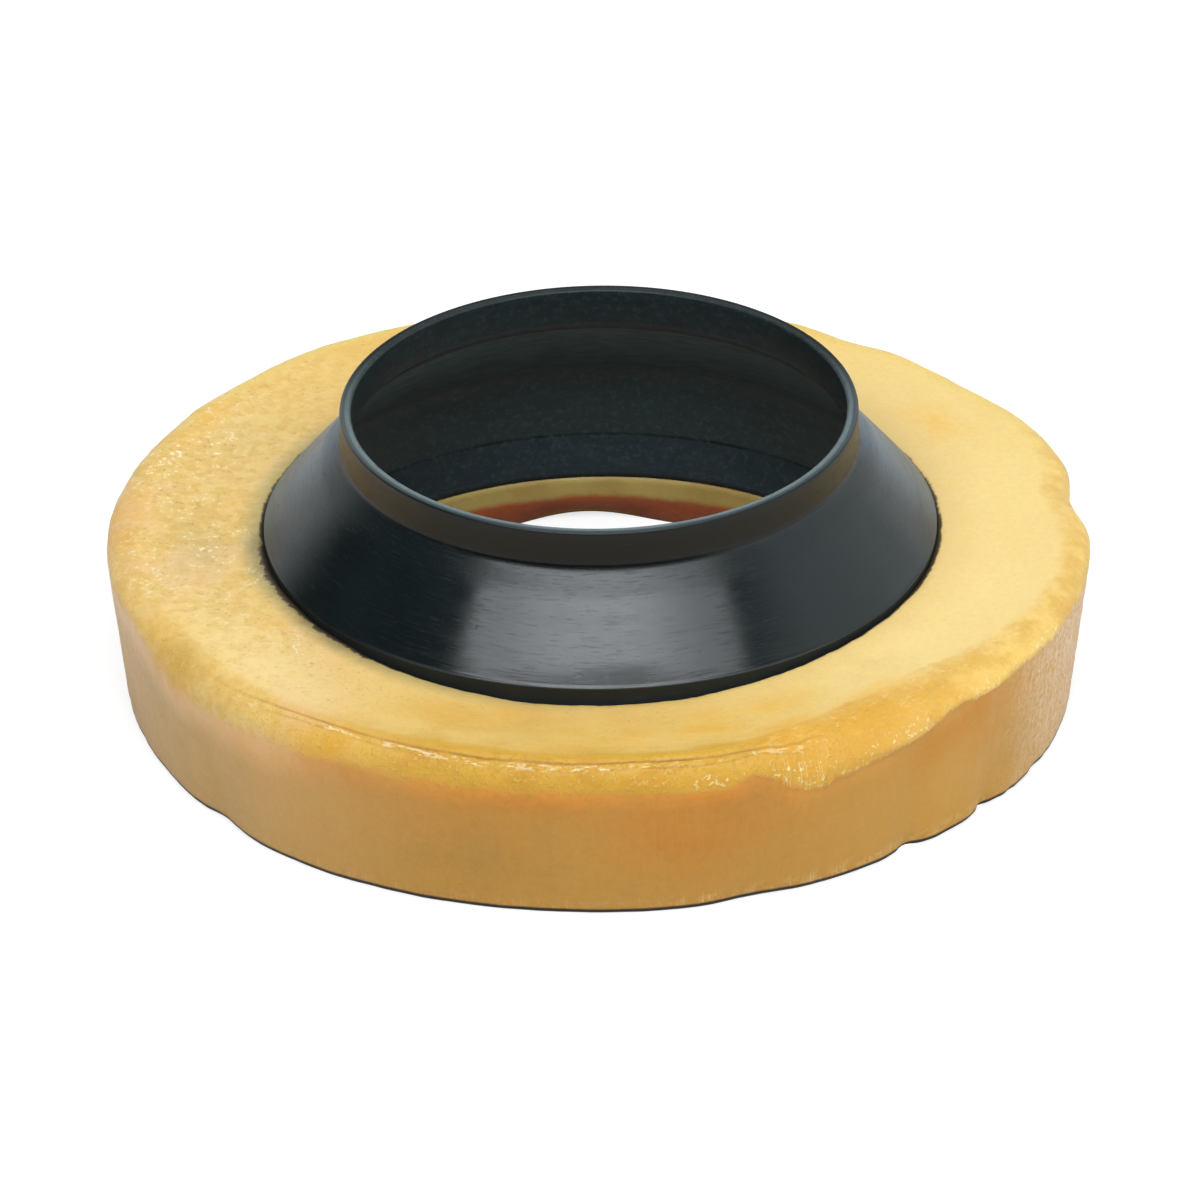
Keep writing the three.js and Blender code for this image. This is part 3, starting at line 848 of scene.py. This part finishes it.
def inside_tone(make, on):
    """The dull inside: dark below the crease, paler up the cone as painted light, dark again in the collar,
    and a line of painted shade at the crease by the flange.
    """
    skirt_tone = make.ramp(on.z, flange_z, flange_z + 0.5 * MM)
    skirt_tone = make.mix(skirt_tone, rgb(0.014, 0.021, 0.025), rgb(0.014, 0.023, 0.022))
    # Painted light: the inside of the cone made paler upwards, for light that does not reach it.
    cone_tone = make.ramp(on.z, collar_z - 11 * MM, collar_z - 2 * MM)
    cone_tone = make.mix(cone_tone, rgb(0.055, 0.090, 0.090), rgb(0.080, 0.130, 0.130))
    tone = make.mix(make.ramp(on.z, foot_z, collar_z - 11 * MM), skirt_tone, cone_tone)
    in_collar = make.ramp(on.z, collar_z - 1.9 * MM, collar_z - 1.5 * MM)
    tone = make.over(tone, rgb(0.013, 0.019, 0.020), in_collar)
    # Painted shade: a dark line at the inner crease by the flange.
    tone = make.over(tone, rgb(0.004, 0.006, 0.007), make.line(on.z, flange_z, 0.3 * MM))
    scuffed = make.group(round_streaks, Turns=9.0, Fineness=900.0, From=0.42, To=0.62)
    tone = make.over(tone, rgb(0.018, 0.030, 0.032), scuffed, 0.5)
    speckled = make.ramp(make.noise(on.where, 1100.0, 3.0, 0.75), 0.50, 0.66)
    return make.over(tone, rgb(0.050, 0.072, 0.076), speckled, 0.28)


def outside_tone(make, on):
    """Near black, with a brown reflection of the wax painted at the collar's left end and a blue-grey
    highlight painted behind the cone's sides.
    """
    clouded = make.ramp(on.cloudy, 0.3, 0.7)
    tone = make.mix(clouded, rgb(0.0050, 0.0082, 0.0088), rgb(0.0070, 0.0110, 0.0118))
    tone = make.over(tone, rgb(0.0016, 0.0026, 0.0028), on.collar)
    # Painted reflection: the wax's brown on the collar's left end.
    wax_reflection = make.times(on.collar, make.ramp(on.x, -0.022, -0.034), make.ramp(on.y, 0.012, -0.006))
    tone = make.over(tone, rgb(0.024, 0.018, 0.013), wax_reflection, 0.7)
    # Painted highlight: pale blue-grey behind the cone's sides.
    side_highlight = make.times(make.ramp(on.y, -0.008, 0.008), make.ramp(on.y, 0.030, 0.016))
    return make.over(tone, rgb(0.066, 0.104, 0.140), side_highlight, make.ramp(on.collar, 1.0, 0.0))


def horn_roughness(make, on):
    """A waxy half gloss, duller inside, on the skirt and where the cone was handled."""
    handled = make.ramp(on.y, -0.026, 0.002, 0.0, 0.21)
    smudge = make.times(make.line(on.x, -0.001, 0.015), make.line(on.z, foot_z + 1.4 * MM, 1.9 * MM))
    handled = make.plus(handled, make.times(smudge, make.ramp(on.cloudy, 0.35, 0.6), 0.16))
    handled = make.plus(handled, make.times(make.line(on.z, collar_z - 1.0 * MM, 3.4 * MM), 0.10))
    above_foot = make.ramp(on.z, foot_z, foot_z + 0.1 * MM)
    below_collar = make.ramp(on.z, collar_z + 0.6 * MM, collar_z)
    polished = make.times(above_foot, below_collar, on.outside)
    rough = make.plus(make.ramp(on.broad, 0.0, 1.0, 0.15, 0.20), make.times(on.fine, 0.12))
    rough = make.plus(rough, make.times(handled, polished), make.ramp(polished, 0.0, 1.0, 0.24, 0.0))
    skirt = make.times(make.ramp(on.z, foot_z - 0.02 * MM, foot_z - 0.15 * MM), on.outside)
    rough = make.plus(rough, make.times(skirt, 0.22))
    rough = make.minus(rough, make.times(on.rim, make.ramp(on.y, 0.02, -0.01, 0.0, 0.15)))
    rim_behind = make.times(make.ramp(on.z, rim_z - 0.2 * MM, rim_z), make.ramp(on.y, 0.0, 0.02))
    return make.plus(rough, make.times(rim_behind, 0.35))


def horn_material():
    """Black polyethylene with wiped streaks and fine scuffs, a pale line painted along its rim as a
    highlight, a pale line painted along the cone's foot as a highlight and a black line painted in the
    crease under the collar as shade.
    """
    material, make = new_material("black_polyethylene")
    on = horn_places(make)
    colour = make.mix(on.inside, outside_tone(make, on), inside_tone(make, on))
    colour = make.over(colour, rgb(0.030, 0.037, 0.040), on.fine, 0.12)
    # Painted highlight: a pale line along the rim's top, in front.
    colour = make.over(colour, rgb(0.086, 0.124, 0.132), on.rim, make.ramp(on.y, 0.02, -0.01))
    # Painted highlight: a pale line along the cone's foot edge, in front.
    foot_line = make.times(make.line(on.z, foot_z + 0.1 * MM, 0.22 * MM), on.outside)
    colour = make.over(colour, rgb(0.030, 0.036, 0.038), foot_line, make.ramp(on.y, -0.03, -0.044))
    # Painted shade: a black line in the crease under the collar.
    crease_line = make.line(on.z, collar_z + 0.15 * MM, 0.4 * MM)
    colour = make.over(colour, rgb(0.001, 0.001, 0.001), crease_line, on.outside)

    pits = make.group(flecks, Scale=700.0, Amount=0.08, Size=0.3)
    lift = make.minus(make.plus(make.times(on.fine, 0.3), make.times(on.broad, 0.7)), pits)
    bump = make.add("Bump", {"Height": lift, "Strength": 0.06, "Distance": 0.0002}).outputs[0]
    shader = make.add("BsdfPrincipled", {
        "Base Color": colour,
        "Roughness": horn_roughness(make, on),
        "Normal": bump,
        "IOR": 1.5,
        "Specular IOR Level": 0.33,
    })
    make.add("OutputMaterial", {"Surface": shader.outputs[0]})
    return material


horn_shell = add_piece("horn_shell", horn_mesh(), horn_material())
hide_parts("horn")

# Studio. A white floor that keeps a soft shadow, one wide softbox high in front, a broad one
# overhead, and a sky that is bright behind and at the right, so the horn's sides catch pale light.
FLOOR_REACH = 6.0


def floor_material():
    """White to the camera, and open under the ring so that its underside can be seen from below."""
    material, make = new_material("white_floor")
    path = make.add("LightPath").outputs
    x, y, _ = make.add("SeparateXYZ", {0: make.add("TexCoord").outputs["Object"]}).outputs
    radius = make.from_axis(x, y)
    clear_of_ring = make.ramp(radius, ring_r, 1.4 * ring_r)
    direct = make.math("MAXIMUM", path["Is Camera Ray"], path["Is Transmission Ray"])
    seen = make.math("MAXIMUM", direct, make.times(path["Is Glossy Ray"], clear_of_ring))
    # Painted shade: inside the ring the floor is darker to light bouncing off it, so less light reaches
    # into the horn.
    open_floor = make.ramp(radius, 0.7 * ring_r, 0.9 * ring_r)
    lit = make.mix(open_floor, rgb(0.42, 0.40, 0.36), rgb(0.75, 0.75, 0.75))
    matt = make.add("BsdfDiffuse", {"Color": make.mix(seen, lit, rgb(0.35, 0.35, 0.35))}).outputs[0]
    glow = make.add("Emission", {"Strength": make.times(seen, 0.74)}).outputs[0]
    white = make.add("AddShader", {0: matt, 1: glow}).outputs[0]
    clear = make.add("BsdfTransparent").outputs[0]
    mouth_edge = make.ramp(y, 36 * MM, 44 * MM, 47.3 * MM, 50.2 * MM)
    outside_mouth = make.math("GREATER_THAN", radius, mouth_edge)
    covered = make.times(make.ramp(radius, 65.6 * MM, 65.0 * MM), outside_mouth)
    under = make.math("MAXIMUM", make.add("NewGeometry").outputs["Backfacing"], covered)
    shader = make.add("MixShader", {0: under, 1: white, 2: clear})
    make.add("OutputMaterial", {"Surface": shader.outputs[0]})
    return material


def lay_floor():
    mesh = bpy.data.meshes.new("floor")
    corners = [(x * FLOOR_REACH, y * FLOOR_REACH, 0) for x, y in ((-1, -1), (1, -1), (1, 1), (-1, 1))]
    mesh.from_pydata(corners, [], [(0, 1, 2, 3)])
    mesh.materials.append(floor_material())
    floor = bpy.data.objects.new("floor", mesh)
    bpy.context.scene.collection.objects.link(floor)


lay_floor()


def hang_light(name, azimuth, elevation, away, width, height, strength, tint, uneven=False):
    """An area light that faces the seal, seen from it at an azimuth and elevation in degrees."""
    lamp = bpy.data.lights.new(name, "AREA")
    lamp.shape = "RECTANGLE"
    lamp.size = width
    lamp.size_y = height
    lamp.color = tint
    lamp.energy = strength * 4 * width * height
    turn = math.radians(azimuth)
    rise = math.radians(elevation)
    out = Vector((math.cos(rise) * math.cos(turn), math.cos(rise) * math.sin(turn), math.sin(rise)))
    side = Vector((-math.sin(turn), math.cos(turn), 0))
    light = bpy.data.objects.new(name, lamp)
    bpy.context.scene.collection.objects.link(light)
    facing = Matrix((side, out.cross(side), out)).transposed().to_4x4()
    light.matrix_world = Matrix.Translation(out * away + Vector((0, 0, 0.03))) @ facing
    if uneven:
        lamp.use_nodes = True
        lamp.node_tree.nodes.clear()
        make = NodeMaker(lamp.node_tree)
        across = make.add("SeparateXYZ", {0: make.add("NewGeometry").outputs["Parametric"]}).outputs[0]
        start = make.ramp(across, 0.10, 0.44, 0.62, 1.0)
        end = make.ramp(across, 0.54, 0.90, 1.0, 0.45)
        glow = make.add("Emission", {"Strength": make.times(start, end)}).outputs[0]
        make.add("OutputLight", {"Surface": glow})


hang_light("front_softbox", azimuth=-90, elevation=52.5, away=1.5, width=2.36, height=0.46,
           strength=8.3, tint=(0.93, 0.97, 1.0), uneven=True)
hang_light("overhead_softbox", azimuth=-90, elevation=89.9, away=1.4, width=1.2, height=1.2,
           strength=1.2, tint=(1.0, 1.0, 1.0))


def sky():
    """White to the camera, bright low down behind and at the right, soft below and dim elsewhere."""
    world = bpy.data.worlds.new("studio")
    world.use_nodes = True
    world.node_tree.nodes.clear()
    make = NodeMaker(world.node_tree)
    x, y, z = make.add("SeparateXYZ", {0: make.add("TexCoord").outputs["Generated"]}).outputs
    behind = make.times(make.ramp(y, 0.40, 0.80), make.ramp(z, 0.65, 0.4))
    right = make.times(make.ramp(x, 0.58, 0.86), make.ramp(z, 0.8, 0.6))
    level = make.math("MAXIMUM", make.times(behind, 1.4), make.plus(make.times(right, 1.25), 0.04))
    level = make.plus(level, make.times(make.ramp(z, -0.05, -0.4), 0.8))
    seen = make.add("LightPath").outputs["Is Camera Ray"]
    tone = make.mix(seen, rgb(0.90, 0.98, 1.0), rgb(1, 1, 1))
    strength = make.math("MAXIMUM", level, seen)
    background = make.add("Background", {"Color": tone, "Strength": strength})
    make.add("OutputWorld", {"Surface": background.outputs[0]})
    bpy.context.scene.world = world


sky()

# Camera. A long lens well back from the seal, 29 degrees above the floor and rolled very
# slightly, as in the photograph.
CAMERA_AWAY = 2.5
CAMERA_RISE = math.radians(29.26)
CAMERA_ROLL = math.radians(-0.7)
CAMERA_LENS = 523.4
SENSOR_WIDTH = 36
CAMERA_AIM = Vector((-0.18, 0.0, 12.75)) * MM


def place_camera():
    look = Vector((0, math.cos(CAMERA_RISE), -math.sin(CAMERA_RISE)))
    right = Vector((1, 0, 0))
    up = right.cross(look)
    side = math.cos(CAMERA_ROLL) * right + math.sin(CAMERA_ROLL) * up
    over = math.cos(CAMERA_ROLL) * up - math.sin(CAMERA_ROLL) * right
    lens = bpy.data.cameras.new("camera")
    lens.lens = CAMERA_LENS
    lens.sensor_width = SENSOR_WIDTH
    camera = bpy.data.objects.new("camera", lens)
    bpy.context.scene.collection.objects.link(camera)
    turned = Matrix((side, over, -look)).transposed().to_4x4()
    camera.matrix_world = Matrix.Translation(CAMERA_AIM - look * CAMERA_AWAY) @ turned
    bpy.context.scene.camera = camera


place_camera()
bpy.context.scene.view_settings.view_transform = "Standard"
